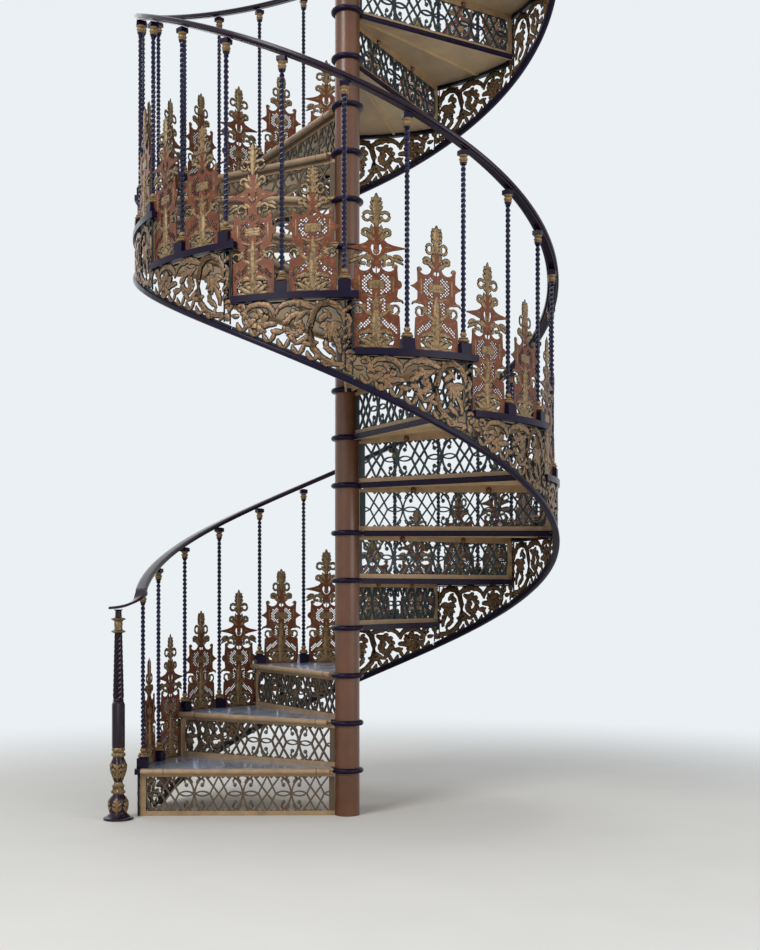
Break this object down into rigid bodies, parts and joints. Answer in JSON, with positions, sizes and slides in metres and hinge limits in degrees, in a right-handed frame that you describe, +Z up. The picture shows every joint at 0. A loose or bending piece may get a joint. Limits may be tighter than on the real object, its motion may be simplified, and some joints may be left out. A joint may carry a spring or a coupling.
{
  "type": "spiral staircase",
  "caption": "Ornate cast iron spiral stair with pierced risers, scrolled string panels, twisted balusters, copper-red leaf panels and a slim curling handrail.",
  "frame": {"origin": "centre of the column's foot on the floor", "axes": "+Z up along the column; the first tread's nosing points along +Y and lies on the -X side"},
  "size_m": [1.898, 1.78, 4.5569],
  "materials": {
    "column": "satin brown paint",
    "moulding": "glossy aubergine paint",
    "tread": "glossy slate paint",
    "riser": "satin bronze paint",
    "string": "bronze paint with gilt relief",
    "baluster": "glossy indigo paint",
    "panel": "copper-red paint with gilt relief",
    "handrail": "glossy brown-black paint",
    "gilt": "gilt paint"
  },
  "bodies": {
    "root": {"column": "column", "column_rings": "moulding", "tread_01": "tread", "tread_02": "tread", "tread_03": "tread", "tread_04": "tread", "tread_05": "tread", "tread_06": "tread", "tread_07": "tread", "tread_08": "tread", "tread_09": "tread", "tread_10": "tread", "tread_11": "tread", "tread_12": "tread", "tread_13": "tread", "tread_14": "tread", "tread_15": "tread", "tread_16": "tread", "tread_17": "tread", "tread_18": "tread", "risers_1": "riser", "risers_2": "riser", "risers_3": "riser", "string_panels_1": "string", "string_panels_2": "string", "string_panels_3": "string", "string_rail_1": "moulding", "string_rail_2": "moulding", "string_rail_3": "moulding", "balusters_1": "baluster", "balusters_2": "baluster", "balusters_3": "baluster", "low_panels_1": "panel", "low_panels_2": "panel", "low_panels_3": "panel", "tall_panels_1": "panel", "tall_panels_2": "panel", "tall_panels_3": "panel", "handrail_1": "handrail", "handrail_2": "handrail", "handrail_3": "handrail", "handrail_scroll": "handrail", "newel_foot": "gilt", "newel_shaft": "baluster", "newel_neck": "gilt"}
  },
  "joints": []
}
